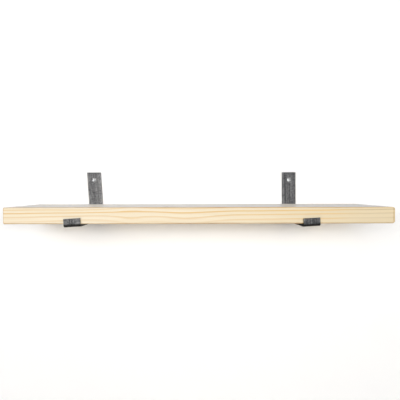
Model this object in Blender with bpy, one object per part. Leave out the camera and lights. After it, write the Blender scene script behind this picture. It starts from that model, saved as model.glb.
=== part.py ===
"""Wall shelf: a solid softwood board carried by two bent flat-bar brackets.

Run with: blender --background --python part.py

Units are metres. +X runs along the board to the right as seen from the room, +Y runs into the wall and
+Z is up. The origin is in the wall plane, at the middle of the board's length and level with its top face.

Each bracket is one flat bar bent into an upright that is screwed to the wall behind the board, an arm
under the board and a short lip turned up in front of it. The bars are bent by hand and each one hangs on
a single wall screw, so both sit slightly turned about their arms. The ends of the uprights are cut level.
"""

from math import cos, pi, radians, sin, tan
from typing import NamedTuple

import bmesh
import bpy

# Board
BOARD_LENGTH = 0.900
BOARD_DEPTH = 0.225
BOARD_THICKNESS = 0.038
BOARD_EDGE_RADIUS = 0.003
BOARD_EDGE_SEGMENTS = 3

# Flat bar of the brackets
BAR_WIDTH = 0.038
BAR_THICKNESS = 0.005
BEND_INSIDE_RADIUS = 0.0025
UPRIGHT_RISE = 0.129  # from the arm's top face to the middle of the upright's end
LIP_RISE = 0.0145  # from the arm's top face to the lip's end
REAR_BEND_Y = -BAR_THICKNESS - BEND_INSIDE_RADIUS  # centre of the bend between the upright and the arm
BEND_STEPS = 8

# Holes in each bracket
WALL_HOLE_DROP = 0.0215  # from the middle of the upright's end
ARM_HOLE_INSET = 0.050  # from the board's front edge and from its back edge

# Clearance between pieces that touch
GAP = 0.0003

# Round pieces
SEGMENTS = 32
SHARP_ANGLE = radians(35)
CUTTER_OVERRUN = 0.002


class Bracket(NamedTuple):
    """Where one bracket sits, and how far out of true it is."""

    side: str
    x: float  # the middle of the arm, at the wall
    turn: float  # about the arm, anticlockwise as seen from the room
    upright_skew: float  # further lean of the upright, in the wall plane, the same way
    arm_skew: float  # how far the arm runs off square to the wall, towards +X


BRACKETS = (
    Bracket(side="left", x=-0.290, turn=radians(3.3), upright_skew=0.0, arm_skew=radians(-0.55)),
    Bracket(side="right", x=0.256, turn=radians(3.2), upright_skew=radians(-2.7), arm_skew=radians(0.15)),
)


class ScrewSize(NamedTuple):
    """A countersunk wood screw with a cross recess."""

    radius: float
    head_radius: float
    rim: float  # height of the head's straight edge above its cone
    length: float
    point: float  # length of the tapered point
    recess_span: float
    recess_width: float
    recess_depth: float


WALL_SCREW = ScrewSize(
    radius=0.0025,
    head_radius=0.00475,
    rim=0.0004,
    length=0.050,
    point=0.006,
    recess_span=0.0052,
    recess_width=0.0011,
    recess_depth=0.0024,
)
BOARD_SCREW = ScrewSize(
    radius=0.0020,
    head_radius=0.0039,
    rim=0.0003,
    length=0.030,
    point=0.005,
    recess_span=0.0044,
    recess_width=0.0010,
    recess_depth=0.0020,
)
RECESS_TAPER = 0.55  # width of the recess at its floor, as a share of its mouth

# Wall plugs
PLUG_RADIUS = 0.004
PLUG_LENGTH = 0.040
PLUG_SETBACK = 0.0025  # behind the face of the wall
PLUG_RIM = 0.0006

# Directions in which a screw's head can face, as turns about X of a screw that faces +Z
FACING_ROOM = pi / 2
FACING_DOWN = pi


def clear_scene():
    for existing in list(bpy.data.objects):
        bpy.data.objects.remove(existing, do_unlink=True)


def make_material(name, colour, roughness, metallic):
    material = bpy.data.materials.new(name)
    material.use_nodes = True
    shader = material.node_tree.nodes["Principled BSDF"]
    shader.inputs["Base Color"].default_value = (*colour, 1.0)
    shader.inputs["Roughness"].default_value = roughness
    shader.inputs["Metallic"].default_value = metallic
    return material


def add_object(name, mesh, material=None, parent=None, location=(0, 0, 0), rotation=(0, 0, 0)):
    made = bpy.data.objects.new(name, mesh)
    bpy.context.scene.collection.objects.link(made)
    made.parent = parent
    made.location = location
    made.rotation_euler = rotation
    if material is not None:
        mesh.materials.append(material)
    return made


def mesh_from(name, corners, faces):
    """A closed mesh with its faces pointing out."""
    shape = bmesh.new()
    vertices = [shape.verts.new(corner) for corner in corners]
    for face in faces:
        shape.faces.new([vertices[i] for i in face])
    bmesh.ops.recalc_face_normals(shape, faces=shape.faces)
    mesh = bpy.data.meshes.new(name)
    shape.to_mesh(mesh)
    shape.free()
    return mesh


def box_mesh(name, low, high, foot=1.0):
    """A box. Below 1, foot narrows its lower face about the middle, for a tapered cutter."""
    middle = [(a + b) / 2 for a, b in zip(low, high)]
    corners = []
    for z, share in ((low[2], foot), (high[2], 1.0)):
        for x, y in ((low[0], low[1]), (high[0], low[1]), (high[0], high[1]), (low[0], high[1])):
            corners.append((middle[0] + (x - middle[0]) * share, middle[1] + (y - middle[1]) * share, z))
    sides = [(i, (i + 1) % 4, 4 + (i + 1) % 4, 4 + i) for i in range(4)]
    return mesh_from(name, corners, [(0, 1, 2, 3), (4, 5, 6, 7), *sides])


def turned_mesh(name, profile, closed=False):
    """A solid of revolution about Z from (radius, z) points.

    An open profile starts and ends on a flat disc. A closed one joins its end to its start, for a tube.
    """
    corners = []
    for radius, z in profile:
        for i in range(SEGMENTS):
            angle = 2 * pi * i / SEGMENTS
            corners.append((radius * cos(angle), radius * sin(angle), z))
    last = len(profile) if closed else len(profile) - 1
    faces = []
    for ring in range(last):
        below = (ring + 1) % len(profile)
        for i in range(SEGMENTS):
            j = (i + 1) % SEGMENTS
            faces.append(
                (ring * SEGMENTS + i, ring * SEGMENTS + j, below * SEGMENTS + j, below * SEGMENTS + i)
            )
    if not closed:
        faces.append(tuple(range(SEGMENTS)))
        faces.append(tuple(range((len(profile) - 1) * SEGMENTS, len(profile) * SEGMENTS)))
    mesh = mesh_from(name, corners, faces)
    mesh.shade_smooth()
    mesh.set_sharp_from_angle(angle=SHARP_ANGLE)
    return mesh


def cut(target, cutter):
    """Takes cutter out of target and keeps it in the scene as a guide."""
    cutter.hide_render = True
    cutter.display_type = "WIRE"
    boolean = target.modifiers.new("cut_" + cutter.name, "BOOLEAN")
    boolean.operation = "DIFFERENCE"
    boolean.solver = "EXACT"
    boolean.object = cutter


def add_board(wood):
    """The plank, with all its edges eased."""
    mesh = box_mesh(
        "board",
        (-BOARD_LENGTH / 2, -BAR_THICKNESS - GAP - BOARD_DEPTH, -BOARD_THICKNESS),
        (BOARD_LENGTH / 2, -BAR_THICKNESS - GAP, 0),
    )
    board = add_object("board", mesh, wood)
    easing = board.modifiers.new("eased_edges", "BEVEL")
    easing.width = BOARD_EDGE_RADIUS
    easing.segments = BOARD_EDGE_SEGMENTS
    easing.limit_method = "ANGLE"
    return board


def bend(centre_y, start, end):
    """Inner and outer (y, z) points of a bend from one angle to another about (centre_y, inside radius)."""
    pairs = []
    for step in range(BEND_STEPS + 1):
        angle = start + (end - start) * step / BEND_STEPS
        direction = (cos(angle), sin(angle))
        pair = []
        for radius in (BEND_INSIDE_RADIUS, BEND_INSIDE_RADIUS + BAR_THICKNESS):
            pair.append((centre_y + radius * direction[0], BEND_INSIDE_RADIUS + radius * direction[1]))
        pairs.append(tuple(pair))
    return pairs


def bracket_mesh(name, bracket):
    """The bent bar. Its own origin is in the wall plane, at the middle of the arm's top face."""
    upright_front = -BAR_THICKNESS
    lip_back = upright_front - BOARD_DEPTH - 2 * GAP
    front_bend_y = lip_back + BEND_INSIDE_RADIUS
    pairs = [((upright_front, UPRIGHT_RISE), (0.0, UPRIGHT_RISE))]
    pairs += bend(REAR_BEND_Y, 0.0, -pi / 2)
    arm_end = len(pairs)
    pairs += bend(front_bend_y, -pi / 2, -pi)
    pairs += [((lip_back, LIP_RISE), (lip_back - BAR_THICKNESS, LIP_RISE))]

    corners = []
    for station, (inner, outer) in enumerate(pairs):
        for side, (y, z) in ((-1, inner), (1, inner), (1, outer), (-1, outer)):
            x = side * BAR_WIDTH / 2
            if station == 0:
                z -= x * tan(bracket.turn)
                x += upright_x(z, bracket)
            elif station >= arm_end:
                x += arm_x(front_bend_y, bracket)
            corners.append((x, y, z))
    faces = [(0, 1, 2, 3), tuple(range(len(corners) - 4, len(corners)))]
    for station in range(len(pairs) - 1):
        for i in range(4):
            j = (i + 1) % 4
            faces.append((4 * station + i, 4 * station + j, 4 * station + 4 + j, 4 * station + 4 + i))
    return mesh_from(name, corners, faces)


def upright_x(height, bracket):
    """How far the upright's centre line has moved along X at a height above the arm's top face."""
    return -(height - BEND_INSIDE_RADIUS) * tan(bracket.upright_skew)


def arm_x(y, bracket):
    """How far the arm's centre line has moved along X at a place between its bends."""
    return (REAR_BEND_Y - y) * tan(bracket.arm_skew)


def add_countersunk_hole(target, name, size, location, rotation):
    """A hole that a screw of this size sits in, flush with the bar's face."""
    clear = size.radius + GAP
    seat = size.head_radius + GAP * 2**0.5
    profile = [
        (seat, CUTTER_OVERRUN),
        (seat, -size.rim),
        (clear, -size.rim - (seat - clear)),
        (clear, -BAR_THICKNESS - CUTTER_OVERRUN),
    ]
    cut(target, add_object(name, turned_mesh(name, profile), None, target, location, rotation))


def add_screw(name, size, material, parent, location, rotation):
    """A countersunk screw. Its own +Z is its axis, and its head's face is at z = 0."""
    cone = size.head_radius - size.radius
    profile = [
        (size.head_radius, 0),
        (size.head_radius, -size.rim),
        (size.radius, -size.rim - cone),
        (size.radius, size.point - size.length),
        (size.radius * 0.1, -size.length),
    ]
    screw = add_object(name, turned_mesh(name, profile), material, parent, location, rotation)
    half = (size.recess_span / 2, size.recess_width / 2)
    for wing, (x, y) in (("a", half), ("b", half[::-1])):
        cutter_name = f"{name}_recess_{wing}"
        mesh = box_mesh(cutter_name, (-x, -y, -size.recess_depth), (x, y, GAP), RECESS_TAPER)
        cut(screw, add_object(cutter_name, mesh, None, screw))
    return screw


def add_pilot_hole(board, screw, size):
    """The hole in the board that a screw runs in."""
    name = screw.name + "_pilot"
    radius = size.radius + GAP
    mesh = turned_mesh(name, [(radius, 0), (radius, -size.length - GAP)])
    cut(board, add_object(name, mesh, None, screw))


def add_wall_plug(name, plastic, parent, location, rotation):
    """An open-ended plug around the wall screw, set back in the wall. Its own +Z faces the room."""
    bore = WALL_SCREW.radius + GAP
    mouth = -PLUG_SETBACK
    foot = mouth - PLUG_LENGTH
    profile = [
        (bore, mouth),
        (PLUG_RADIUS + PLUG_RIM, mouth),
        (PLUG_RADIUS + PLUG_RIM, mouth - PLUG_RIM),
        (PLUG_RADIUS, mouth - 2 * PLUG_RIM),
        (PLUG_RADIUS, foot + 2 * PLUG_RIM),
        (PLUG_RADIUS - PLUG_RIM, foot),
        (bore, foot),
    ]
    return add_object(name, turned_mesh(name, profile, True), plastic, parent, location, rotation)


def add_bracket(bracket, board, steel, zinc, plastic):
    """One bracket with the screws and the plug that belong to it."""
    name = f"{bracket.side}_bracket"
    high_edge = BAR_WIDTH / 2 * sin(abs(bracket.turn))
    bar = add_object(
        name,
        bracket_mesh(name, bracket),
        steel,
        location=(bracket.x, 0, -BOARD_THICKNESS - GAP - high_edge),
        rotation=(0, -bracket.turn, 0),
    )

    height = UPRIGHT_RISE - WALL_HOLE_DROP
    x = upright_x(height, bracket)
    front = (x, -BAR_THICKNESS, height)
    room = (FACING_ROOM, 0, 0)
    add_countersunk_hole(bar, f"{bracket.side}_wall_hole", WALL_SCREW, front, room)
    add_screw(f"{bracket.side}_wall_screw", WALL_SCREW, zinc, bar, front, room)
    add_wall_plug(f"{bracket.side}_wall_plug", plastic, bar, (x, 0, height), room)

    down = (FACING_DOWN, 0, 0)
    board_back = -BAR_THICKNESS - GAP
    for place, y in (
        ("front", board_back - BOARD_DEPTH + ARM_HOLE_INSET),
        ("rear", board_back - ARM_HOLE_INSET),
    ):
        under = (arm_x(y, bracket), y, -BAR_THICKNESS)
        add_countersunk_hole(bar, f"{bracket.side}_{place}_arm_hole", BOARD_SCREW, under, down)
        screw = add_screw(f"{bracket.side}_{place}_board_screw", BOARD_SCREW, zinc, bar, under, down)
        add_pilot_hole(board, screw, BOARD_SCREW)


def main():
    clear_scene()
    wood = make_material("pine", (0.90, 0.80, 0.60), roughness=0.5, metallic=0.0)
    steel = make_material("raw_steel", (0.16, 0.16, 0.165), roughness=0.5, metallic=1.0)
    zinc = make_material("zinc", (0.75, 0.76, 0.78), roughness=0.3, metallic=1.0)
    plastic = make_material("nylon", (0.55, 0.56, 0.57), roughness=0.5, metallic=0.0)
    board = add_board(wood)
    for bracket in BRACKETS:
        add_bracket(bracket, board, steel, zinc, plastic)


main()
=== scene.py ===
"""The looks of the wall shelf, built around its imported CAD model.

The plank gets one solid grain that runs through its faces and its ends, the brackets are rolled flat bar
with eased corners, worked bends and mill scale, and the screws and plugs have their threads and ribs.
Everything is in metres in the frame of the CAD model: +X along the board, +Y into the wall, +Z up.
"""

from math import cos, hypot, pi, radians, sin, sqrt, tan

import bmesh
import bpy
from mathutils import Matrix, Vector, noise


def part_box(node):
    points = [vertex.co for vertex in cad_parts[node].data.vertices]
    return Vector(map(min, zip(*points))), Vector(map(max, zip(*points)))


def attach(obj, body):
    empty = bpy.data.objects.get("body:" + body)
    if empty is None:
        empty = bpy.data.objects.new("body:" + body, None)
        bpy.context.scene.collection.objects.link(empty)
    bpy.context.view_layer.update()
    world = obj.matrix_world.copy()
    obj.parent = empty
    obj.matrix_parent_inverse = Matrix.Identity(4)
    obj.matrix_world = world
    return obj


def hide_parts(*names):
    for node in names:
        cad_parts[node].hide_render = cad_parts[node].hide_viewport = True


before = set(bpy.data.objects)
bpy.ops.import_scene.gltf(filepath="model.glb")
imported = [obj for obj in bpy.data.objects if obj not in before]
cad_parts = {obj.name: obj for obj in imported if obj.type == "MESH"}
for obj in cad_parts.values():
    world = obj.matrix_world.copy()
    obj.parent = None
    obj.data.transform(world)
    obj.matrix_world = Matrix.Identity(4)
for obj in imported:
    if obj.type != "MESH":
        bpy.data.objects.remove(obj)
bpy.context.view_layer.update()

# Bar, bends and clearances, as in the CAD model
BAR_WIDTH = 0.038
BAR_THICKNESS = 0.005
BEND_INSIDE_RADIUS = 0.0025
UPRIGHT_RISE = 0.129
LIP_RISE = 0.0145
WALL_HOLE_DROP = 0.0215
ARM_HOLE_INSET = 0.050
GAP = 0.0003
TURN = {"left": radians(3.3), "right": radians(3.2)}
UPRIGHT_SKEW = {"left": 0.0, "right": radians(-2.7)}
ARM_SKEW = {"left": radians(-0.55), "right": radians(0.15)}
MIDDLE = {"left": -0.290, "right": 0.256}
REAR_BEND_Y = -BAR_THICKNESS - BEND_INSIDE_RADIUS

BOARD_LOW, BOARD_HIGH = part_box("board")
BOARD_FRONT = BOARD_LOW.y
BOARD_BACK = BOARD_HIGH.y

# Camera
CAMERA_AT = (-0.0126, -1.1729, 0.0394)
CAMERA_YAW = radians(0.734)
CAMERA_PITCH = radians(-1.380)
CAMERA_ROLL = radians(-0.08)
CAMERA_LENS = 37.05

# Stage
WALL_GAP = 0.0002
STAGE_HALF = 5.0
FLOOR_Z = -1.25
CEILING_Z = 2.4
FLOOR_GLOW = 0.60

# How strongly the room around the stage lights it, and how bright it looks to the camera
WORLD_LIGHT = 0.10
WORLD_SEEN = 0.88

# Soft boxes, all turned to the shelf: place, size, power, colour
DAYLIGHT = (1.0, 1.0, 1.0)
LAMPLIGHT = (1.0, 0.91, 0.76)
SOFTBOXES = {
    "left_level": ((-1.2, -2.8, 0.26), (2.0, 0.45), 21.0, DAYLIGHT),
    "right_level": ((1.2, -2.8, 0.26), (2.0, 0.45), 29.0, DAYLIGHT),
    "raised": ((-0.45, -2.7, 0.62), (3.2, 0.5), 31.0, DAYLIGHT),
    "left_high": ((-0.9, -2.2, 1.30), (2.2, 1.2), 8.5, DAYLIGHT),
    "overhead": ((-0.60, -0.4, 2.10), (2.0, 0.6), 6.5, DAYLIGHT),
    "right_side": ((2.6, -0.4, 0.25), (0.8, 0.8), 6.0, DAYLIGHT),
    "behind": ((0.8, 2.2, -0.20), (2.4, 0.8), 17.0, DAYLIGHT),
    "below": ((0.05, 0.15, -0.32), (1.0, 0.12), 1.0, LAMPLIGHT),
}


# --- Node graphs ---------------------------------------------------------------------------------


class Graph:
    """Adds nodes to one material, each fed by plain values or by other nodes' outputs."""

    def __init__(self, name):
        self.material = bpy.data.materials.new(name)
        self.material.use_nodes = True
        self.tree = self.material.node_tree
        self.shader = self.tree.nodes["Principled BSDF"]
        self.output = self.tree.nodes["Material Output"]

    def feed(self, socket, value):
        if isinstance(value, bpy.types.NodeSocket):
            self.tree.links.new(value, socket)
        else:
            socket.default_value = value

    def node(self, kind, inputs=None, **settings):
        made = self.tree.nodes.new("ShaderNode" + kind)
        for key, value in settings.items():
            setattr(made, key, value)
        for key, value in (inputs or {}).items():
            self.feed(made.inputs[key], value)
        return made

    def math(self, operation, *values, clamp=False):
        made = self.node("Math", dict(enumerate(values)), operation=operation, use_clamp=clamp)
        return made.outputs[0]

    def add(self, *values):
        total = values[0]
        for value in values[1:]:
            total = self.math("ADD", total, value)
        return total

    def times(self, a, b):
        return self.math("MULTIPLY", a, b)

    def stretched(self, vector, factors):
        return self.node("VectorMath", {0: vector, 1: factors}, operation="MULTIPLY").outputs[0]

    def noise(self, vector, factors, detail=2.0, roughness=0.5, seed=0.0):
        """Noise from 0 to 1, with this many features a metre along each axis."""
        place = self.node(
            "VectorMath", {0: self.stretched(vector, factors), 1: (seed, seed, seed)}, operation="ADD"
        ).outputs[0]
        made = self.node(
            "TexNoise", {"Vector": place, "Scale": 1.0, "Detail": detail, "Roughness": roughness}
        )
        return made.outputs["Fac"]

    def wobble(self, vector, factors, size, **options):
        """Noise from -size to size."""
        return self.times(self.math("SUBTRACT", self.noise(vector, factors, **options), 0.5), 2 * size)

    def span(self, value, low, high, to_low=0.0, to_high=1.0, smooth=True):
        """Takes low to high onto to_low to to_high, held at the ends."""
        made = self.node(
            "MapRange",
            {"Value": value, "From Min": low, "From Max": high, "To Min": to_low, "To Max": to_high},
            interpolation_type="SMOOTHSTEP" if smooth else "LINEAR",
        )
        return made.outputs["Result"]

    def mix(self, share, a, b, blend="MIX"):
        made = self.node("Mix", {0: share, 6: a, 7: b}, data_type="RGBA", blend_type=blend)
        return made.outputs[2]

    def bump(self, height, distance, strength=1.0, below=None):
        inputs = {"Height": height, "Distance": distance, "Strength": strength}
        if below is not None:
            inputs["Normal"] = below
        return self.node("Bump", inputs).outputs["Normal"]

    def finish(self, **inputs):
        """Feeds the shader's sockets, named with _ for a space, and returns the material."""
        for key, value in inputs.items():
            self.feed(self.shader.inputs[key.replace("_", " ")], value)
        return self.material


def colour(red, green, blue):
    return (red, green, blue, 1.0)


# --- Materials -----------------------------------------------------------------------------------

# Growth rings: where the pith runs, and how wide one ring is at a distance from it
PITH_Y = -0.150
PITH_Z = -0.135
RING_AT = 0.150
RING_WIDTH = 0.0064
RING_NARROWING = 3.7
RING_PHASE = 0.14
GRAIN_SLOPE = 0.0074
GRAIN_SLOPE_FROM = -0.427
DARK_RING = 4.9
DARK_RINGS_WIDE = 1.4
RINGS_TO_RING_AT = RING_AT / (RING_NARROWING * RING_WIDTH)

# Dips of the rings along the front: middle, half length, depth near the top face, its growth downward
SWERVES = (
    (-0.270, 0.075, 0.0004, -0.0016),
    (-0.158, 0.040, -0.0003, 0.0035),
    (-0.030, 0.065, 0.0023, 0.0025),
)

# Knots: the width of their own rings, then each one's x, y, radius and push on the rings round it
KNOT_RING = 0.0011
KNOTS = (
    (-0.083, -0.182, 0.0065, 0.0050),
    (0.215, -0.082, 0.0095, 0.0070),
    (-0.335, -0.110, 0.0060, 0.0050),
    (0.392, -0.170, 0.0050, 0.0040),
)

# Which way the patches of painted shade on the zinc fall, so that the wall screws glint in part
PATCH_SHADE_SEED = 3.0


def pine():
    """Plain-sawn pine: rings round a pith under the board, bent by knots, with fibres along the board."""
    g = Graph("pine_wood")
    place = g.node("TexCoord").outputs["Object"]
    x, y, z = g.node("SeparateXYZ", {0: place}).outputs

    # How far each point is from the pith, straightened to one ring line
    across = g.math("SUBTRACT", y, PITH_Y)
    up = g.math("SUBTRACT", z, PITH_Z)
    radius = g.math("SQRT", g.add(g.times(across, across), g.times(up, up)))
    shape = g.add(
        radius,
        g.times(g.math("SUBTRACT", x, GRAIN_SLOPE_FROM), -GRAIN_SLOPE),
        g.wobble(place, (2.6, 7, 7), 0.0013, detail=1.0, seed=3.1),
        g.wobble(place, (14, 30, 30), 0.0007, detail=2.0, seed=8.4),
        g.wobble(place, (60, 240, 240), 0.00016, detail=2.0, seed=1.7),
        swerve(g, x, y, z),
    )
    knots = Knots(g, place, x, y)
    shape = g.add(shape, knots.push)

    count = g.times(g.math("POWER", g.times(shape, 1 / RING_AT), RING_NARROWING), RINGS_TO_RING_AT)
    turns = g.add(count, RING_PHASE)
    ring = g.math("FLOOR", turns)
    inside = g.math("FRACT", turns)
    own = g.node("TexWhiteNoise", {"W": ring}, noise_dimensions="1D").outputs["Value"]

    # Latewood darkens slowly outward and stops short at the next ring
    late = g.times(g.span(inside, 0.50, 0.92), g.span(inside, 0.95, 1.0, 1.0, 0.0))
    dry = g.times(g.math("SUBTRACT", ring, DARK_RING), 1 / DARK_RINGS_WIDE)
    dry = g.math("EXPONENT", g.times(g.times(dry, dry), -1.0))
    strength = g.add(
        0.16,
        g.times(dry, 0.84),
        g.span(y, BOARD_FRONT + 0.004, BOARD_FRONT + 0.030, 0.0, 0.30),
        g.span(x, 0.00, 0.10, 0.0, 0.24),
        g.span(x, 0.31, 0.36, 0.0, -0.26),
        g.times(g.math("SUBTRACT", own, 0.5), 0.20),
        g.wobble(place, (5, 40, 40), 0.25, detail=1.0, seed=5.0),
    )
    late = g.math("MULTIPLY", late, strength, clamp=True)

    fibre = g.noise(place, (18, 1500, 1500), detail=3.0, roughness=0.6, seed=2.0)
    band = g.noise(place, (3.5, 190, 190), detail=2.0, seed=6.0)
    flecks = g.span(g.noise(place, (55, 2600, 2600), detail=1.0, seed=9.0), 0.70, 0.80)

    # More red towards the right end, where the latewood turns grey, and darker there as painted shade
    patches = g.wobble(place, (1.3, 12, 12), 0.7, detail=1.0, seed=4.0)
    redder_and_shaded = g.add(g.span(x, -0.22, 0.42, 0.0, 0.85), patches)
    redder_and_shaded = g.math("ADD", redder_and_shaded, 0.1, clamp=True)
    wood = g.mix(redder_and_shaded, colour(0.870, 0.780, 0.635), colour(0.690, 0.580, 0.390))
    greyer = g.span(x, 0.30, 0.40)
    wood = g.mix(late, wood, g.mix(greyer, colour(0.690, 0.450, 0.155), colour(0.440, 0.350, 0.200)))
    wood = g.mix(g.span(band, 0.38, 0.68, 0.0, 0.30), wood, colour(0.720, 0.570, 0.340))
    wood = g.mix(g.span(fibre, 0.30, 0.80, 0.0, 0.15), wood, colour(0.600, 0.430, 0.235))
    wood = g.mix(g.times(flecks, 0.22), wood, colour(0.420, 0.255, 0.120))
    wood = knots.painted(wood)

    # The eased edges are darker and tanner, and the cut ends drink more finish, so they are darker
    ease = g.node("Attribute", attribute_name="ease").outputs["Fac"]
    uneven = g.span(g.noise(place, (9, 40, 40), seed=14.0), 0.3, 0.6, 0.55, 1.0)
    ease = g.times(g.span(ease, 0.1, 0.8), uneven)
    wood = g.mix(ease, wood, g.mix(1.0, wood, colour(0.68, 0.48, 0.23), blend="MULTIPLY"))
    normal = g.node("SeparateXYZ", {0: g.node("NewGeometry").outputs["True Normal"]}).outputs
    end = g.span(g.math("ABSOLUTE", normal[0]), 0.45, 0.95)
    wood = g.mix(g.times(end, 0.45), wood, g.mix(1.0, wood, colour(0.80, 0.70, 0.56), blend="MULTIPLY"))
    # Painted shade darkens the top face a little to the right, and it has most of the clear coat
    top = g.span(normal[2], 0.75, 0.98)
    used = g.mix(g.span(x, -0.35, 0.35), colour(1.00, 0.97, 0.95), colour(0.92, 0.90, 0.90))
    wood = g.mix(top, wood, g.mix(1.0, wood, used, blend="MULTIPLY"))

    rough = g.add(
        g.span(late, 0.0, 1.0, 0.56, 0.46, smooth=False),
        g.times(g.math("SUBTRACT", fibre, 0.5), 0.16),
        g.times(end, 0.12),
    )
    relief = g.add(g.times(late, 0.5), g.times(fibre, 0.45), g.times(band, 0.25), g.times(knots.heart, -0.4))
    saw = g.noise(place, (900, 60, 1400), detail=1.0, seed=12.0)
    return g.finish(
        Base_Color=wood,
        Roughness=rough,
        Normal=g.bump(relief, 0.00008, 0.7, g.bump(g.times(saw, end), 0.00010, 0.6)),
        Specular_IOR_Level=0.35,
        Coat_Weight=g.span(top, 0.0, 1.0, 0.06, 1.0, smooth=False),
        Coat_Roughness=0.25,
        Sheen_Weight=0.20,
        Sheen_Roughness=0.50,
    )


def swerve(g, x, y, z):
    """How far the rings dip below their line near the front face, which changes downward."""
    depth = g.span(z, -0.027, -0.006, 1.6, -0.5, smooth=False)
    near_front = g.span(y, BOARD_FRONT + 0.020, BOARD_FRONT + 0.090, 1.0, 0.0)
    total = 0.0
    for middle, reach, at_top, growth in SWERVES:
        along = g.times(g.math("SUBTRACT", x, middle), 1 / reach)
        bell = g.math("EXPONENT", g.times(g.times(along, along), -1.0))
        total = g.add(total, g.times(bell, g.add(at_top, g.times(depth, growth))))
    return g.times(total, near_front)


class Knots:
    """The knots' push on the rings around them, their hearts and their dark rims."""

    def __init__(self, g, place, x, y):
        self.g = g
        self.push = 0.0
        self.heart = 0.0
        self.rim = 0.0
        self.close_rings = 0.0
        for i, (knot_x, knot_y, size, push) in enumerate(KNOTS):
            dx = g.add(x, -knot_x, g.wobble(place, (70, 70, 40), 0.0012, seed=20.0 + i))
            dy = g.add(y, -knot_y, g.wobble(place, (70, 70, 40), 0.0012, seed=30.0 + i))
            distance = g.math("SQRT", g.add(g.times(dx, dx), g.times(dy, dy)))
            # the push fades faster across the grain than along it
            along = g.times(dx, 1 / (5.2 * size))
            aside = g.times(dy, 1 / (3.4 * size))
            fade = g.math("EXPONENT", g.times(g.add(g.times(along, along), g.times(aside, aside)), -1.0))
            heart = g.span(distance, size * 0.92, size * 1.02, 1.0, 0.0)
            inner = g.span(distance, size * 0.70, size * 0.98)
            rim = g.times(inner, g.span(distance, size, size * 1.3, 1.0, 0.0))
            self.push = g.add(self.push, g.times(fade, push))
            self.heart = g.math("MAXIMUM", self.heart, heart)
            self.rim = g.math("MAXIMUM", self.rim, rim)
            self.close_rings = g.add(self.close_rings, g.times(heart, g.times(distance, 1 / KNOT_RING)))

    def painted(self, wood):
        g = self.g
        rings = g.times(g.math("FRACT", self.close_rings), 0.6)
        heart = g.mix(rings, colour(0.400, 0.215, 0.095), colour(0.250, 0.115, 0.045))
        wood = g.mix(g.times(self.heart, 0.92), wood, heart)
        return g.mix(g.times(self.rim, 0.55), wood, colour(0.150, 0.070, 0.030))


def raw_steel():
    """Hot-rolled flat bar: grey scale, drawn streaks, rubbed corners and scale broken at the bends.

    Its place along the bar comes from the mesh: "bar" holds across, along and through in metres, "bend" is
    1 where the bar was bent, "rub" is highest on its corners, "roll_and_shade" is darker scale left by the
    rolls together with painted shade, and "painted_shade" is 1 where painted shade makes the bar near black.
    """
    g = Graph("mill_scale_steel")
    bar = g.node("Attribute", attribute_name="bar").outputs["Vector"]
    bend = g.node("Attribute", attribute_name="bend").outputs["Fac"]
    rub = g.node("Attribute", attribute_name="rub").outputs["Fac"]
    roll_and_shade = g.node("Attribute", attribute_name="roll_and_shade").outputs["Fac"]
    painted_shade = g.node("Attribute", attribute_name="painted_shade").outputs["Fac"]

    cloud = g.noise(bar, (130, 85, 130), detail=3.0, roughness=0.6, seed=1.0)
    pebble = g.noise(bar, (330, 260, 330), detail=2.0, roughness=0.6, seed=11.0)
    streak = g.noise(bar, (420, 9, 300), detail=3.0, roughness=0.6, seed=2.0)
    speck = g.noise(bar, (1500, 1100, 1500), detail=2.0, roughness=0.7, seed=4.0)
    smudge = g.span(g.noise(bar, (110, 150, 100), detail=4.0, roughness=0.65, seed=5.5), 0.54, 0.70)
    scratch = g.times(
        g.span(g.noise(bar, (2400, 30, 900), detail=1.0, seed=6.0), 0.70, 0.78),
        g.span(g.noise(bar, (60, 40, 60), detail=1.0, seed=7.0), 0.45, 0.65),
    )
    crack = g.times(bend, g.span(g.noise(bar, (130, 1500, 400), detail=2.0, seed=8.0), 0.52, 0.66))
    worn = g.math("MAXIMUM", g.times(rub, g.span(cloud, 0.40, 0.62, 0.1, 1.0)), g.times(crack, 0.5))

    scale = g.mix(g.span(cloud, 0.36, 0.62), colour(0.075, 0.076, 0.079), colour(0.200, 0.200, 0.201))
    scale = g.mix(g.span(pebble, 0.42, 0.60, 0.0, 0.70), scale, colour(0.340, 0.339, 0.338))
    scale = g.mix(g.span(streak, 0.35, 0.68, 0.0, 0.40), scale, colour(0.230, 0.230, 0.230))
    rolled = g.mix(1.0, scale, colour(0.22, 0.22, 0.235), blend="MULTIPLY")
    # the rolls' darker scale, and painted shade that darkens the right bar all over
    scale = g.mix(g.times(roll_and_shade, g.span(streak, 0.38, 0.60, 1.0, 0.55)), scale, rolled)
    scale = g.mix(g.times(smudge, 0.65), scale, colour(0.050, 0.050, 0.054))
    scale = g.mix(g.span(speck, 0.45, 0.75, 0.0, 0.30), scale, colour(0.060, 0.058, 0.057))
    scale = g.mix(g.times(scratch, 0.50), scale, colour(0.380, 0.380, 0.380))
    scale = g.mix(g.times(worn, 0.55), scale, colour(0.330, 0.328, 0.325))
    # painted shade: the arm under the board and the bends go near black
    scale = g.mix(g.times(painted_shade, g.span(cloud, 0.3, 0.7, 0.90, 0.75)), scale, colour(0.016, 0.015, 0.014))

    rough = g.add(
        g.span(cloud, 0.30, 0.70, 0.46, 0.58),
        g.times(smudge, 0.10),
        g.times(painted_shade, 0.18),
        g.times(worn, -0.10),
        g.times(g.math("SUBTRACT", speck, 0.5), 0.12),
    )
    relief = g.add(
        g.times(speck, 0.5),
        g.times(cloud, 0.6),
        g.times(pebble, 0.6),
        g.times(streak, 0.3),
        g.times(crack, -0.8),
    )
    return g.finish(
        Base_Color=scale,
        Metallic=0.90,
        Roughness=rough,
        Normal=g.bump(relief, 0.00014, 0.6),
    )


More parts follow.
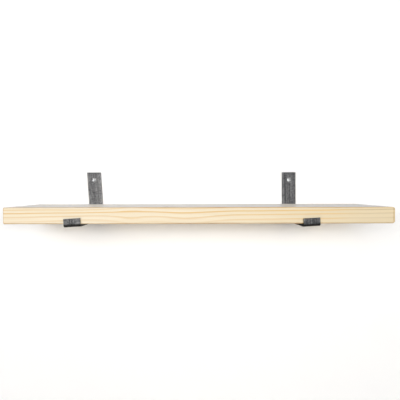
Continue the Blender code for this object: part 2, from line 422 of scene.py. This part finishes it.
def zinc():
    """Bright zinc plate, clouded and scuffed by the driver, with painted shade in patches and in its recess.

    "deep" on the mesh is 1 in the recess.
    """
    g = Graph("bright_zinc")
    place = g.node("TexCoord").outputs["Object"]
    cloud = g.noise(place, (420, 420, 420), detail=3.0, roughness=0.6)
    scuff = g.span(g.noise(place, (2600, 900, 2600), detail=2.0, seed=3.0), 0.58, 0.70)
    tone = g.mix(cloud, colour(0.68, 0.69, 0.71), colour(0.42, 0.425, 0.42))
    tone = g.mix(g.times(scuff, 0.35), tone, colour(0.30, 0.29, 0.27))
    deep = g.node("Attribute", attribute_name="deep").outputs["Fac"]
    # patches of painted shade on the head
    patch_shade = g.span(g.noise(place, (240, 240, 240), detail=1.0, seed=PATCH_SHADE_SEED), 0.46, 0.56)
    tone = g.mix(g.times(patch_shade, 0.75), tone, colour(0.070, 0.070, 0.070))
    # painted shade in the driver's recess
    tone = g.mix(g.span(deep, 0.0, 0.6, 0.0, 0.9), tone, colour(0.020, 0.020, 0.021))
    return g.finish(
        Base_Color=tone,
        Metallic=1.0,
        Roughness=g.add(g.span(cloud, 0.3, 0.7, 0.36, 0.50), g.times(scuff, 0.12)),
        Normal=g.bump(g.add(cloud, scuff), 0.00003, 0.4),
    )


def nylon():
    """Grey moulded nylon with faint flow marks and a dusting of plaster."""
    g = Graph("grey_nylon")
    place = g.node("TexCoord").outputs["Object"]
    flow = g.noise(place, (200, 60, 200), detail=2.0)
    dust = g.span(g.noise(place, (900, 900, 900), detail=3.0, seed=2.0), 0.55, 0.75)
    tone = g.mix(flow, colour(0.42, 0.43, 0.44), colour(0.50, 0.505, 0.51))
    tone = g.mix(g.times(dust, 0.25), tone, colour(0.72, 0.71, 0.69))
    return g.finish(
        Base_Color=tone,
        Roughness=g.add(g.span(flow, 0.3, 0.7, 0.40, 0.52), g.times(dust, 0.2)),
        Normal=g.bump(g.add(flow, dust), 0.00005, 0.4),
    )


def wall_paint():
    """White emulsion that is only there from the front, so that the shelf can be seen and lit from behind."""
    g = Graph("white_emulsion")
    place = g.node("TexCoord").outputs["Object"]
    peel = g.noise(place, (260, 260, 260), detail=3.0)
    ray = g.node("LightPath").outputs
    # It is dimmer and bluer in reflections, so that the clear coat on the shelf's top mirrors a plain grey
    tone = g.mix(ray["Is Glossy Ray"], colour(0.985, 0.985, 0.985), colour(0.315, 0.360, 0.440))
    g.finish(Base_Color=tone, Roughness=0.85, Normal=g.bump(peel, 0.0002, 0.25))
    # Shadow rays pass it too, so that it doesn't keep the soft box behind from the shelf
    unseen = g.math("MAXIMUM", g.node("NewGeometry").outputs["Backfacing"], ray["Is Shadow Ray"])
    clear = g.node("BsdfTransparent").outputs[0]
    both = g.node("MixShader", {0: unseen, 1: g.shader.outputs[0], 2: clear})
    g.feed(g.output.inputs["Surface"], both.outputs[0])
    return g.material


def floor_paint():
    """Plain pale floor."""
    g = Graph("pale_floor")
    place = g.node("TexCoord").outputs["Object"]
    cloud = g.noise(place, (3, 3, 3), detail=4.0)
    tone = g.mix(cloud, colour(0.80, 0.77, 0.72), colour(0.77, 0.74, 0.69))
    g.finish(Base_Color=colour(0.52, 0.49, 0.45), Roughness=0.8)
    # What the camera sees of it also glows, so that it stays pale where little light reaches it
    seen = g.node("LightPath").outputs["Is Camera Ray"]
    glow = g.node("Emission", {"Color": tone, "Strength": g.times(seen, FLOOR_GLOW)})
    both = g.node("AddShader", {0: g.shader.outputs[0], 1: glow.outputs[0]})
    g.feed(g.output.inputs["Surface"], both.outputs[0])
    return g.material


# --- Mesh helpers --------------------------------------------------------------------------------


def add_piece(name, mesh, material, replaced):
    """A shown piece that stands for one CAD node of the same body."""
    mesh.materials.clear()
    mesh.materials.append(material)
    piece = bpy.data.objects.new(name, mesh)
    bpy.context.scene.collection.objects.link(piece)
    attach(piece, "root")
    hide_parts(replaced)
    return piece


def mesh_of(name, corners, faces, transform=None):
    shape = bmesh.new()
    vertices = [shape.verts.new(corner) for corner in corners]
    for face in faces:
        shape.faces.new([vertices[i] for i in face])
    bmesh.ops.recalc_face_normals(shape, faces=shape.faces)
    mesh = bpy.data.meshes.new(name)
    shape.to_mesh(mesh)
    shape.free()
    if transform is not None:
        mesh.transform(transform)
    return mesh


def loop_faces(rings, count, closed=False):
    """The quads between rings of count corners each."""
    faces = []
    for ring in range(rings if closed else rings - 1):
        below = (ring + 1) % rings
        for i in range(count):
            j = (i + 1) % count
            faces.append((ring * count + i, ring * count + j, below * count + j, below * count + i))
    return faces


def smooth(mesh, angle):
    mesh.shade_smooth()
    mesh.set_sharp_from_angle(angle=radians(angle))


def carved(mesh, cutters):
    """mesh with the cutters taken out of it. The cutters are used up."""
    target = bpy.data.objects.new("carving", mesh)
    bpy.context.scene.collection.objects.link(target)
    helpers = []
    for cutter in cutters:
        helper = bpy.data.objects.new("cutter", cutter)
        bpy.context.scene.collection.objects.link(helper)
        boolean = target.modifiers.new("cut", "BOOLEAN")
        boolean.operation = "DIFFERENCE"
        boolean.solver = "EXACT"
        boolean.object = helper
        helpers.append(helper)
    depsgraph = bpy.context.evaluated_depsgraph_get()
    result = bpy.data.meshes.new_from_object(target.evaluated_get(depsgraph), depsgraph=depsgraph)
    result.name = mesh.name
    for used in [target, *helpers]:
        bpy.data.objects.remove(used)
    return result


def turned(name, profile, segments, transform):
    """A solid of revolution about Z from (radius, z) points, closed at both ends, placed by transform."""
    corners = []
    for radius, z in profile:
        for i in range(segments):
            angle = 2 * pi * i / segments
            corners.append((radius * cos(angle), radius * sin(angle), z))
    faces = loop_faces(len(profile), segments)
    faces.append(tuple(range(segments)))
    faces.append(tuple(range((len(profile) - 1) * segments, len(profile) * segments)))
    return mesh_of(name, corners, faces, transform)


# --- Board ---------------------------------------------------------------------------------------

# Eased radii of the long edges: back top, front top, front bottom, back bottom
EDGE_RADII = (0.0030, 0.0017, 0.0027, 0.0030)
EDGE_RADIUS_LEAST = 0.0008
EDGE_UNEVEN = 0.0004
EDGE_STEPS = 6
KNOCK_DEPTH = 0.0016
KNOCK_RARITY = 0.42
STATION_GAP = 0.005

# Eased radii of the ends: over the left (-1) and the right end (1), and round the sides of both
END_RADIUS = {-1: 0.0026, 1: 0.0060}
END_SIDE_RADIUS = 0.0015

# Points across the top and bottom faces, up the front and back, and how far from the edges they start
ACROSS_STEPS = 12
UP_STEPS = 4
FACE_MARGIN = 0.0045


def edge_radius(x, corner):
    """The eased radius of one long edge, which the sander left a little uneven."""
    return EDGE_RADII[corner] + EDGE_UNEVEN * noise.noise(Vector((x * 9, corner * 7.3, 0.5)))


def edge_dent(x, corner):
    """How deep a knock has pressed a long edge in."""
    knock = noise.noise(Vector((x * 38, corner * 5.1, 4.2))) - KNOCK_RARITY
    return KNOCK_DEPTH * max(0.0, knock)


def board_section(x, inset_y, inset_z):
    """The (y, z, how far on an eased edge) outline of the board at x, pulled in, with rounded corners."""
    low_y, high_y = BOARD_LOW.y + inset_y, BOARD_HIGH.y - inset_y
    low_z, high_z = BOARD_LOW.z + inset_z, BOARD_HIGH.z - inset_z
    points = []
    for corner, (side_y, side_z) in enumerate(((1, 1), (-1, 1), (-1, -1), (1, -1))):
        radius = max(edge_radius(x, corner) - inset_z * 0.5, EDGE_RADIUS_LEAST)
        dent = edge_dent(x, corner)
        centre_y = (high_y if side_y > 0 else low_y) - side_y * radius
        centre_z = (high_z if side_z > 0 else low_z) - side_z * radius
        start = corner * pi / 2
        for step in range(EDGE_STEPS + 1):
            turn = start + pi / 2 * step / EDGE_STEPS
            on_edge = sin(pi * step / EDGE_STEPS)
            reach = radius - dent * on_edge
            points.append((centre_y + reach * cos(turn), centre_z + reach * sin(turn), on_edge))
        # points along the flat that follows: the top, the front, the bottom and the back in turn
        count = ACROSS_STEPS if corner in (0, 2) else UP_STEPS
        span_y = high_y - low_y - 2 * FACE_MARGIN
        span_z = high_z - low_z - 2 * FACE_MARGIN
        for k in range(count + 1):
            share = k / count
            if corner == 0:
                points.append((high_y - FACE_MARGIN - span_y * share, high_z, 0.0))
            elif corner == 1:
                points.append((low_y, high_z - FACE_MARGIN - span_z * share, 0.0))
            elif corner == 2:
                points.append((low_y + FACE_MARGIN + span_y * share, low_z, 0.0))
            else:
                points.append((high_y, low_z + FACE_MARGIN + span_z * share, 0.0))
    return points


def board_stations():
    """(x, inset in y, inset in z, how far round the end) along the board, its two ends eased."""
    ends = {}
    for side, radius in END_RADIUS.items():
        ramp = []
        for step in range(EDGE_STEPS + 1):
            turn = pi / 2 * step / EDGE_STEPS
            back = radius * (1 - sin(turn))
            over = max(0.0, END_SIDE_RADIUS - back)
            inset_y = END_SIDE_RADIUS - sqrt(END_SIDE_RADIUS**2 - over**2)
            x_end = BOARD_LOW.x if side < 0 else BOARD_HIGH.x
            ramp.append((x_end - side * back, inset_y, radius * (1 - cos(turn)), sin(turn)))
        ends[side] = ramp
    first, last = ends[-1][0][0], ends[1][0][0]
    count = round((last - first) / STATION_GAP)
    between = [(first + (last - first) * k / count, 0.0, 0.0, 0.0) for k in range(1, count)]
    return [*ends[-1][::-1], *between, *ends[1]]


def board_mesh(cutters):
    """The plank as a loft along X. "ease" on it is 1 on its long edges and up to a half on its ends'."""
    stations = board_stations()
    corners = []
    ease = []
    for x, inset_y, inset_z, round_end in stations:
        for y, z, on_edge in board_section(x, inset_y, inset_z):
            corners.append((x, y, z))
            ease.append(max(on_edge, 2 * round_end * (1 - round_end)))
    count = len(corners) // len(stations)
    faces = loop_faces(len(stations), count)
    faces.append(tuple(range(count)))
    faces.append(tuple(range(len(corners) - count, len(corners))))
    mesh = mesh_of("board_plank", corners, faces)
    mesh.attributes.new("ease", "FLOAT", "POINT").data.foreach_set("value", ease)
    mesh = carved(mesh, cutters)
    smooth(mesh, 32)
    return mesh


# --- Brackets ------------------------------------------------------------------------------------

CORNER_RADIUS = 0.0007
CORNER_STEPS = 3
FACE_STEPS = 6
BEND_STEPS = 14
UPRIGHT_STEPS = 26
ARM_STEPS = 44
LIP_STEPS = 6
END_EASE = 0.0005
BEND_BULGE = 0.0004
SHADE_FADE = 0.0020

# Moves the right bar's scale on, so that the two bars don't match
RIGHT_SCALE_SHIFT = 17.0


def bracket_matrix(side):
    """From a bracket's own frame, at the middle of the arm's top face in the wall plane, to the row frame."""
    high_edge = BAR_WIDTH / 2 * sin(TURN[side])
    at = Vector((MIDDLE[side], 0, BOARD_LOW.z - GAP - high_edge))
    return Matrix.Translation(at) @ Matrix.Rotation(-TURN[side], 4, "Y")


def upright_x(side, height):
    """How far the upright's centre line has moved along X at a height above the arm's top face."""
    return -max(0.0, height - BEND_INSIDE_RADIUS) * tan(UPRIGHT_SKEW[side])


def arm_x(side, y):
    """How far the arm's centre line has moved along X at a place between its bends."""
    front_bend_y = BOARD_FRONT - GAP + BEND_INSIDE_RADIUS
    return max(0.0, REAR_BEND_Y - max(y, front_bend_y)) * tan(ARM_SKEW[side])


def bar_path():
    """(y, z, heading, bend share, length so far) along the middle of the bar, from the upright's end."""
    half = BAR_THICKNESS / 2
    middle = BEND_INSIDE_RADIUS + half
    lip_back = BOARD_FRONT - GAP
    lip = lip_back + BEND_INSIDE_RADIUS
    points = []

    def straight(start, end, heading, count):
        for k in range(count):
            share = k / count
            y = start[0] + (end[0] - start[0]) * share
            z = start[1] + (end[1] - start[1]) * share
            points.append((y, z, heading, 0.0))

    def arc(centre_y, start, end):
        for k in range(BEND_STEPS + 1):
            share = k / BEND_STEPS
            turn = start + (end - start) * share
            y = centre_y + middle * cos(turn)
            z = BEND_INSIDE_RADIUS + middle * sin(turn)
            points.append((y, z, turn - pi / 2, sin(pi * share)))

    straight((-half, UPRIGHT_RISE), (-half, BEND_INSIDE_RADIUS), -pi / 2, UPRIGHT_STEPS)
    arc(REAR_BEND_Y, 0.0, -pi / 2)
    straight((REAR_BEND_Y, -half), (lip, -half), -pi, ARM_STEPS)
    # each bend's last point is also the next leg's first
    points.pop(-ARM_STEPS)
    arc(lip, -pi / 2, -pi)
    straight((lip_back - half, BEND_INSIDE_RADIUS), (lip_back - half, LIP_RISE), -3 * pi / 2, LIP_STEPS)
    points.pop(-LIP_STEPS)
    points.append((lip_back - half, LIP_RISE, -3 * pi / 2, 0.0))

    path = []
    length = 0.0
    last_y, last_z = points[0][:2]
    for y, z, heading, bend in points:
        length += hypot(y - last_y, z - last_z)
        path.append((y, z, heading, bend, length))
        last_y, last_z = y, z
    return path


def bar_outline():
    """(across, through) round the bar's cross-section, corners eased."""
    half_x = BAR_WIDTH / 2 - CORNER_RADIUS
    half_t = BAR_THICKNESS / 2 - CORNER_RADIUS
    points = []
    for corner, (sx, st) in enumerate(((1, 1), (-1, 1), (-1, -1), (1, -1))):
        for step in range(CORNER_STEPS + 1):
            turn = corner * pi / 2 + pi / 2 * step / CORNER_STEPS
            points.append((sx * half_x + CORNER_RADIUS * cos(turn), st * half_t + CORNER_RADIUS * sin(turn)))
        if corner in (0, 2):
            for k in range(1, FACE_STEPS):
                points.append((sx * half_x * (1 - 2 * k / FACE_STEPS), st * BAR_THICKNESS / 2))
    return points


def bracket_mesh(side, cutters):
    """The bent bar, with its place along the bar kept for the material."""
    path = bar_path()
    outline = bar_outline()
    last = len(path) - 1
    total = path[last][4]
    # each end has two rings: its flat, drawn in by the ease, and the ease's foot a little way along
    rings = [(0, True), *((i, False) for i in range(last + 1)), (last, True)]
    corners = []
    stored = []
    for index, is_flat in rings:
        y, z, heading, bend, length = path[index]
        ahead = (cos(heading), sin(heading))
        outward = (-ahead[1], ahead[0])
        inner = END_EASE if is_flat else 0.0
        shift = 0.0
        if not is_flat and index == 0:
            shift = END_EASE
        elif not is_flat and index == last:
            shift = -END_EASE
        for across, through in outline:
            grown = 1 - 2 * inner / BAR_WIDTH
            # a bend squeezes the bar out sideways on its inside and draws it in on its outside
            spread = BEND_BULGE * bend * through / (BAR_THICKNESS / 2)
            outwards = spread if across > 0 else -spread
            px = across * grown + outwards * min(1.0, abs(across) / (BAR_WIDTH / 2))
            pt = through * (1 - 2 * inner / BAR_THICKNESS)
            py = y + ahead[0] * shift + outward[0] * pt
            pz = z + ahead[1] * shift + outward[1] * pt
            if index < UPRIGHT_STEPS:
                # the upright's end is cut level, and the rings below it turn square to the bar by steps
                pz -= px * tan(TURN[side]) * (1 - index / UPRIGHT_STEPS) ** 3
                px += upright_x(side, pz)
            px += arm_x(side, py)
            corners.append((px, py, pz))
            stored.append((across, length, through, bend))
    faces = loop_faces(len(rings), len(outline))
    faces.append(tuple(range(len(outline))))
    faces.append(tuple(range(len(corners) - len(outline), len(corners))))
    mesh = mesh_of(side + "_bar", corners, faces)
    keep_bar_place(mesh, stored, total, side)
    mesh.transform(bracket_matrix(side))
    mesh = carved(mesh, cutters)
    smooth(mesh, 30)
    return mesh


def keep_bar_place(mesh, stored, total, side):
    """Stores each corner's place on the bar, how bent it is and how rubbed, for the steel's material.

    The rolls left darker scale down the middle of the left bar, more to its left, and at the sides of the
    right one. Painted shade darkens the right bar all over, more on its lip, and makes the arm and its bends
    near black; the upright's cut end gets half as much.
    """
    shift = RIGHT_SCALE_SHIFT if side == "right" else 0.0
    values = {"bend": [], "rub": [], "roll_and_shade": [], "painted_shade": []}
    places = []
    arm_from = UPRIGHT_RISE - BEND_INSIDE_RADIUS
    arm_to = total - LIP_RISE + BEND_INSIDE_RADIUS
    for across, along, through, bent in stored:
        sideways = (2 * across / BAR_WIDTH) ** 2
        on_side = abs(across) > BAR_WIDTH / 2 - 1.5 * CORNER_RADIUS
        places += (across + shift, along + shift, through)
        # painted shade on the arm and its bends, and half of it on the upright's cut end
        in_arm = min(along - arm_from, arm_to - along) / SHADE_FADE
        at_end = 0.5 * (1 - along / SHADE_FADE)
        values["bend"].append(bent)
        values["painted_shade"].append(min(1.0, max(0.0, in_arm, at_end)) * (1.0 if on_side else 0.85))
        values["rub"].append(0.6 if on_side else 0.0)
        # the right bar is darker all over and more on its lip as painted shade, and darker at its sides from
        # the rolls
        if side == "right":
            values["roll_and_shade"].append(1.04 + 0.24 * sideways + (0.08 if along > arm_to else 0.0))
        else:
            values["roll_and_shade"].append(0.49 + 0.40 * (1 - sideways) - 0.20 * across / BAR_WIDTH)
    mesh.attributes.new("bar", "FLOAT_VECTOR", "POINT").data.foreach_set("vector", places)
    for name, numbers in values.items():
        mesh.attributes.new(name, "FLOAT", "POINT").data.foreach_set("value", numbers)


# --- Screws and plugs ----------------------------------------------------------------------------

# Radii of the thread's crest and core, the shank and the head, the heights of the head's rim, the whole and
# the point, the thread's pitch and start, and the recess's span, width and depth
WALL_SCREW = {
    "radius": 0.0025,
    "core": 0.0017,
    "shank": 0.0021,
    "head": 0.00475,
    "rim": 0.0004,
    "length": 0.050,
    "point": 0.006,
    "pitch": 0.0024,
    "thread_from": 0.014,
    "recess": (0.0062, 0.0017, 0.0026),
}
BOARD_SCREW = {
    "radius": 0.0020,
    "core": 0.0013,
    "shank": 0.0017,
    "head": 0.0039,
    "rim": 0.0003,
    "length": 0.030,
    "point": 0.005,
    "pitch": 0.0019,
    "thread_from": 0.010,
    "recess": (0.0044, 0.0010, 0.0020),
}

# Segments round a screw, rings to one pitch, and half the crest's width as a share of the pitch
THREAD_SEGMENTS = 20
THREAD_RINGS = 7
CREST_HALF = 0.26

# The head's eased edge, how far down its cone the neck's flare and the shank start, and the first ring below
HEAD_EASE = 0.00015
FLARE_FROM = 0.82
SHANK_FROM = 1.1
NECK_FLARE = 0.0006
SHANK_LEAD = 0.0003

# The point: how slim it gets, how full its sides are, and the radius it ends on
POINT_LEAST = 0.02
POINT_FULLNESS = 0.75
TIP_RADIUS = 0.00008

# The cross's inner corners as a share of its arms' width, how much of its mouth is left at its waist and at
# its floor, and how far down the waist is
RECESS_CORNER = 0.62
RECESS_WAIST = 0.62
RECESS_FLOOR = 0.16
RECESS_WAIST_DEPTH = 0.55


def screw_profile(z, turn, size):
    """The thread's radius at a depth and a turn about the axis."""
    start = size["thread_from"]
    depth = -z
    if depth < start:
        return size["shank"]
    pitch, outer, core = size["pitch"], size["radius"], size["core"]
    phase = (depth / pitch - turn / (2 * pi)) % 1.0
    crest = max(0.0, 1 - abs(phase - 0.5) / CREST_HALF)
    fade_in = min(1.0, (depth - start) / pitch)
    to_tip = min(1.0, max(POINT_LEAST, (size["length"] - depth) / size["point"]))
    return (core + (outer - core) * crest * fade_in) * to_tip**POINT_FULLNESS


def recess_mesh(size, angle):
    """The driver's cross, wider at its mouth, with a pointed floor. "deep" on it is 1."""
    span, width, depth = size["recess"]
    inner = width * RECESS_CORNER
    points = []
    for quarter in range(4):
        turn = angle + quarter * pi / 2
        for along, aside in ((inner, -inner), (span / 2, -width / 2), (span / 2, width / 2)):
            points.append((along * cos(turn) - aside * sin(turn), along * sin(turn) + aside * cos(turn)))
    corners = []
    for z, share in ((GAP, 1.0), (-depth * RECESS_WAIST_DEPTH, RECESS_WAIST), (-depth, RECESS_FLOOR)):
        corners += [(px * share, py * share, z) for px, py in points]
    count = len(points)
    faces = loop_faces(3, count)
    faces.append(tuple(range(count)))
    faces.append(tuple(range(2 * count, 3 * count)))
    mesh = mesh_of("recess", corners, faces)
    mesh.attributes.new("deep", "FLOAT", "POINT").data.foreach_set("value", [1.0] * len(corners))
    return mesh


def screw_mesh(name, size, angle, transform):
    """A countersunk wood screw with a cut thread. Its own +Z is its axis and its head's face is at z = 0."""
    rings = []
    head, rim, shank = size["head"], size["rim"], size["shank"]
    for radius, z in (
        (head - HEAD_EASE, 0.0),
        (head, -HEAD_EASE),
        (head, -rim),
        (shank + NECK_FLARE, -rim - (head - shank) * FLARE_FROM),
        (shank, -rim - (head - shank) * SHANK_FROM),
    ):
        rings.append([(radius, z)] * THREAD_SEGMENTS)
    turns = [2 * pi * i / THREAD_SEGMENTS for i in range(THREAD_SEGMENTS)]
    z = -rim - (head - shank) * SHANK_FROM - SHANK_LEAD
    step = size["pitch"] / THREAD_RINGS
    while z > -size["length"]:
        rings.append([(screw_profile(z, turn, size), z) for turn in turns])
        # the plain shank needs fewer rings than the thread
        z -= step if z < -size["thread_from"] + size["pitch"] else 4 * step
    rings.append([(TIP_RADIUS, -size["length"])] * THREAD_SEGMENTS)
    corners = []
    for ring in rings:
        for turn, (radius, z) in zip(turns, ring):
            corners.append((radius * cos(turn), radius * sin(turn), z))
    faces = loop_faces(len(rings), THREAD_SEGMENTS)
    faces.append(tuple(range(THREAD_SEGMENTS)))
    faces.append(tuple(range(len(corners) - THREAD_SEGMENTS, len(corners))))
    mesh = mesh_of(name, corners, faces)
    mesh.attributes.new("deep", "FLOAT", "POINT").data.foreach_set("value", [0.0] * len(corners))
    mesh = carved(mesh, [recess_mesh(size, angle)])
    mesh.transform(transform)
    smooth(mesh, 40)
    return mesh


# The plug's mouth, set back behind the wall's face, its sizes, and its ribs, slots, fins and tapered end
PLUG_MOUTH = -0.0025
PLUG_LENGTH = 0.040
PLUG_BORE = 0.0028
PLUG_OUTER = 0.0040
PLUG_RIM = 0.0006
PLUG_SLIMMER = 0.0001
PLUG_SEGMENTS = 32
PLUG_STEPS = 64
RIB_PITCH = 0.0042
RIB_DEPTH = 0.00045
RIBS_FROM = 0.008
RIBS_STOP_SHORT = 0.003
SLOTS_FROM = 0.010
SLOT_FLOOR = 0.00035
FIN_LENGTH = 0.009
PLUG_TAPER = 0.002


def plug_radius(depth, i):
    """The plug's outer radius at a depth and one of its segments: rim, ribs, four slots, two fins, taper."""
    radius = PLUG_OUTER + PLUG_RIM
    if depth >= PLUG_RIM:
        radius = PLUG_OUTER - PLUG_SLIMMER
        if RIBS_FROM < depth < PLUG_LENGTH - RIBS_STOP_SHORT:
            radius = PLUG_OUTER - RIB_DEPTH * ((depth / RIB_PITCH) % 1.0)
        if SLOTS_FROM < depth and i % 8 == 0:
            radius = PLUG_BORE + SLOT_FLOOR
        if depth < FIN_LENGTH and i % 16 == 4:
            radius = PLUG_OUTER + PLUG_RIM * (1 - depth / FIN_LENGTH)
    if depth > PLUG_LENGTH - PLUG_TAPER:
        drawn_in = PLUG_RIM * (depth - PLUG_LENGTH + PLUG_TAPER) / PLUG_TAPER
        radius = min(radius, PLUG_OUTER - drawn_in)
    return radius


def plug_mesh(name, transform):
    """A ribbed nylon plug with slots along it and two fins, open at both ends."""
    rings = []
    for k in range(PLUG_STEPS + 1):
        depth = PLUG_LENGTH * k / PLUG_STEPS
        rings.append([(plug_radius(depth, i), PLUG_MOUTH - depth) for i in range(PLUG_SEGMENTS)])
    for depth in (PLUG_LENGTH, PLUG_LENGTH / 2, 0.0):
        rings.append([(PLUG_BORE, PLUG_MOUTH - depth)] * PLUG_SEGMENTS)
    corners = []
    for ring in rings:
        for i, (radius, z) in enumerate(ring):
            turn = 2 * pi * i / PLUG_SEGMENTS
            corners.append((radius * cos(turn), radius * sin(turn), z))
    mesh = mesh_of(name, corners, loop_faces(len(rings), PLUG_SEGMENTS, True), transform)
    smooth(mesh, 35)
    return mesh


# Broken burr round the holes in the bars, how far past the face it opens, and how far the cutters stand out
BURR_WIDTH = 0.0004
BACK_BURR_DEPTH = 0.0003
PAST_FACE = 0.0001
CUTTER_REACH = 0.002


def hole_mesh(size, transform):
    """What a countersink drill takes out of the bar, with the rims' burr broken."""
    clear = size["radius"] + GAP
    seat = size["head"] + GAP * sqrt(2)
    profile = [
        (seat + BURR_WIDTH, CUTTER_REACH),
        (seat + BURR_WIDTH, PAST_FACE),
        (seat, -size["rim"]),
        (clear, -size["rim"] - (seat - clear)),
        (clear, -BAR_THICKNESS + BACK_BURR_DEPTH),
        (clear + BURR_WIDTH, -BAR_THICKNESS - PAST_FACE),
        (clear + BURR_WIDTH, -BAR_THICKNESS - CUTTER_REACH),
    ]
    return turned("hole", profile, 40, transform)


def pilot_mesh(size, transform):
    radius = size["radius"] + GAP
    return turned("pilot", [(radius, 0.0), (radius, -size["length"] - GAP)], 24, transform)


# --- The shelf -----------------------------------------------------------------------------------

# How far round each screw's recess was left
DRIVER_ANGLE = {"left_wall": 0.62, "right_wall": 1.25, "front": 0.3, "rear": 0.9}


def fixings(side):
    """{name: (size, matrix)} of one bracket's screws, their heads' faces flush with the bar."""
    frame_of = bracket_matrix(side)
    height = UPRIGHT_RISE - WALL_HOLE_DROP
    room = Matrix.Rotation(pi / 2, 4, "X")
    down = Matrix.Rotation(pi, 4, "X")
    found = {
        f"{side}_wall_screw": (
            WALL_SCREW,
            frame_of @ Matrix.Translation((upright_x(side, height), -BAR_THICKNESS, height)) @ room,
        )
    }
    for place, y in (("front", BOARD_FRONT + ARM_HOLE_INSET), ("rear", BOARD_BACK - ARM_HOLE_INSET)):
        found[f"{side}_{place}_board_screw"] = (
            BOARD_SCREW,
            frame_of @ Matrix.Translation((arm_x(side, y), y, -BAR_THICKNESS)) @ down,
        )
    return found


def build_shelf():
    wood, steel, plate, plastic = pine(), raw_steel(), zinc(), nylon()
    pilots = []
    for side in ("left", "right"):
        screws = fixings(side)
        holes = [hole_mesh(size, matrix) for size, matrix in screws.values()]
        add_piece(f"{side}_bar", bracket_mesh(side, holes), steel, f"{side}_bracket")
        for name, (size, matrix) in screws.items():
            kind = f"{side}_wall" if "wall" in name else name.split("_")[1]
            mesh = screw_mesh(name + "_threaded", size, DRIVER_ANGLE[kind], matrix)
            add_piece(name + "_threaded", mesh, plate, name)
            if size is BOARD_SCREW:
                pilots.append(pilot_mesh(size, matrix))
        height = UPRIGHT_RISE - WALL_HOLE_DROP
        at = bracket_matrix(side) @ Matrix.Translation((upright_x(side, height), 0, height))
        mesh = plug_mesh(f"{side}_wall_plug_ribbed", at @ Matrix.Rotation(pi / 2, 4, "X"))
        add_piece(f"{side}_wall_plug_ribbed", mesh, plastic, f"{side}_wall_plug")
    add_piece("board_plank", board_mesh(pilots), wood, "board")


# --- Stage, light and camera ---------------------------------------------------------------------


def add_stage():
    """A white wall that the shelf hangs on, and a pale floor well below it."""
    wall = mesh_of(
        "wall",
        [
            (-STAGE_HALF, WALL_GAP, FLOOR_Z),
            (STAGE_HALF, WALL_GAP, FLOOR_Z),
            (STAGE_HALF, WALL_GAP, CEILING_Z),
            (-STAGE_HALF, WALL_GAP, CEILING_Z),
        ],
        [(0, 1, 2, 3)],
    )
    if wall.polygons[0].normal.y > 0:
        wall.flip_normals()
    wall.materials.append(wall_paint())
    ground = mesh_of(
        "floor",
        [
            (-STAGE_HALF, -STAGE_HALF, FLOOR_Z),
            (STAGE_HALF, -STAGE_HALF, FLOOR_Z),
            (STAGE_HALF, STAGE_HALF, FLOOR_Z),
            (-STAGE_HALF, STAGE_HALF, FLOOR_Z),
        ],
        [(0, 1, 2, 3)],
    )
    if ground.polygons[0].normal.z < 0:
        ground.flip_normals()
    ground.materials.append(floor_paint())
    for mesh in (wall, ground):
        made = bpy.data.objects.new("stage_" + mesh.name, mesh)
        bpy.context.scene.collection.objects.link(made)


def add_softbox(name, at, towards, size, power, tint):
    light = bpy.data.lights.new(name, "AREA")
    light.shape = "RECTANGLE"
    light.size, light.size_y = size
    light.energy = power
    light.color = tint
    lamp = bpy.data.objects.new(name, light)
    bpy.context.scene.collection.objects.link(lamp)
    lamp.location = at
    lamp.rotation_euler = (Vector(towards) - Vector(at)).to_track_quat("-Z", "Y").to_euler()
    lamp.visible_camera = False


def add_light():
    """Soft boxes in front of the wall, over the shelf and behind it, in a dim room that looks pale."""
    world = bpy.data.worlds.new("studio")
    bpy.context.scene.world = world
    world.use_nodes = True
    tree = world.node_tree
    back = tree.nodes["Background"]
    back.inputs["Color"].default_value = (1.0, 1.0, 1.0, 1.0)
    seen = tree.nodes.new("ShaderNodeLightPath").outputs["Is Camera Ray"]
    strength = tree.nodes.new("ShaderNodeMapRange")
    strength.inputs["To Min"].default_value = WORLD_LIGHT
    strength.inputs["To Max"].default_value = WORLD_SEEN
    tree.links.new(seen, strength.inputs["Value"])
    tree.links.new(strength.outputs["Result"], back.inputs["Strength"])
    for name, (at, size, power, tint) in SOFTBOXES.items():
        add_softbox(name, at, (0.0, 0.0, 0.0), size, power, tint)


def add_camera():
    data = bpy.data.cameras.new("camera")
    data.lens = CAMERA_LENS
    data.sensor_width = 36.0
    data.clip_start = 0.01
    camera = bpy.data.objects.new("camera", data)
    bpy.context.scene.collection.objects.link(camera)
    ahead = Vector(
        (sin(CAMERA_YAW) * cos(CAMERA_PITCH), cos(CAMERA_YAW) * cos(CAMERA_PITCH), sin(CAMERA_PITCH))
    )
    aim = ahead.to_track_quat("-Z", "Y").to_matrix().to_4x4()
    camera.matrix_world = Matrix.Translation(CAMERA_AT) @ aim @ Matrix.Rotation(CAMERA_ROLL, 4, "Z")
    bpy.context.scene.camera = camera


add_camera()
build_shelf()
add_stage()
add_light()
bpy.context.scene.view_settings.view_transform = "Standard"
